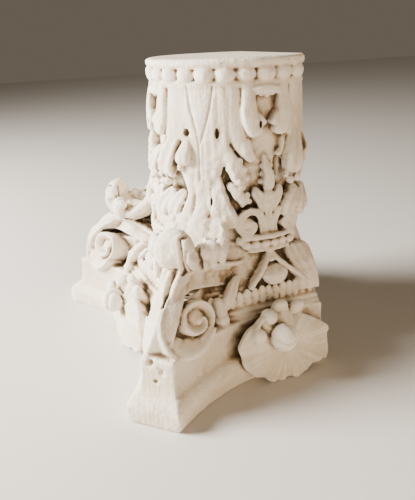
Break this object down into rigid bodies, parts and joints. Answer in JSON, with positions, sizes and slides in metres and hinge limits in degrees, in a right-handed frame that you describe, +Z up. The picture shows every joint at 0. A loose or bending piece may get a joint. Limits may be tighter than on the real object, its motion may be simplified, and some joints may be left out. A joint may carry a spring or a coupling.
{
  "type": "corinthian capital",
  "caption": "Plaster cast of part of a Corinthian capital, shown upside down on its abacus, with leaves, volutes, flowers and a beaded neck, cut flat behind.",
  "frame": {"origin": "on the bell axis, in the flat underside that the cast stands on", "axes": "+Z up from the abacus to the beaded neck, +Y out of the flat back, +X along the width"},
  "size_m": [0.228, 0.1445, 0.2],
  "materials": {
    "plaster": "matte off-white cast plaster, unpainted, with fine pinholes and a warm tone in the hollows"
  },
  "bodies": {
    "root": {"capital": "plaster"}
  },
  "joints": []
}
